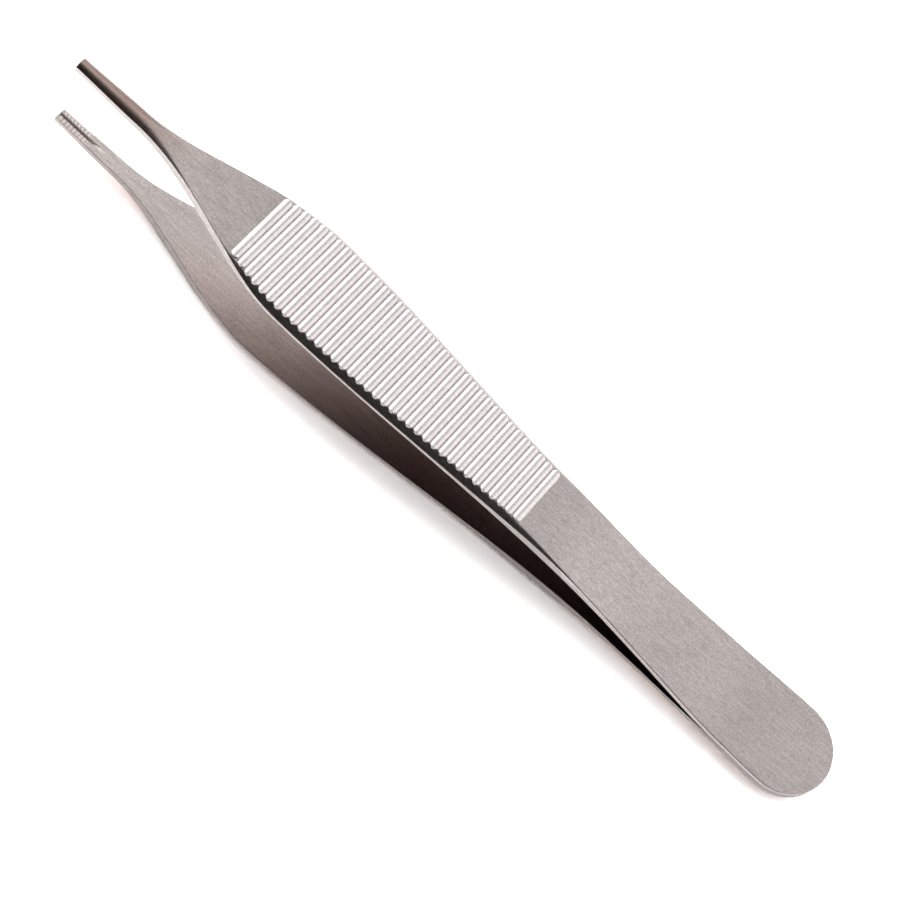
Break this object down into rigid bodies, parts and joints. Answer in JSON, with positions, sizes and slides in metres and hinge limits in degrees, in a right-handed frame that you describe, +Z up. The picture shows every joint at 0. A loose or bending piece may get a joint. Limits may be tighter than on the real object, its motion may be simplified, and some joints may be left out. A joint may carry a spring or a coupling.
{
  "type": "thumb forceps",
  "caption": "Steel thumb forceps with broad cross-ribbed grips, slender jaws with fine interlocking teeth, and spring arms welded together at a flat rounded heel.",
  "frame": {"origin": "on the table plane under the middle of the bounding box; the forceps lies on the ribs of its lower arm", "axes": "+X along the instrument from the heel to the jaw tips, +Y across it, +Z up from the table"},
  "size_m": [0.1202, 0.0138, 0.0159],
  "materials": {
    "satin_steel": "satin, fine bead-blasted stainless steel with brighter polished ribs"
  },
  "bodies": {
    "root": {"upper_arm": "satin_steel", "lower_arm": "satin_steel"}
  },
  "joints": []
}
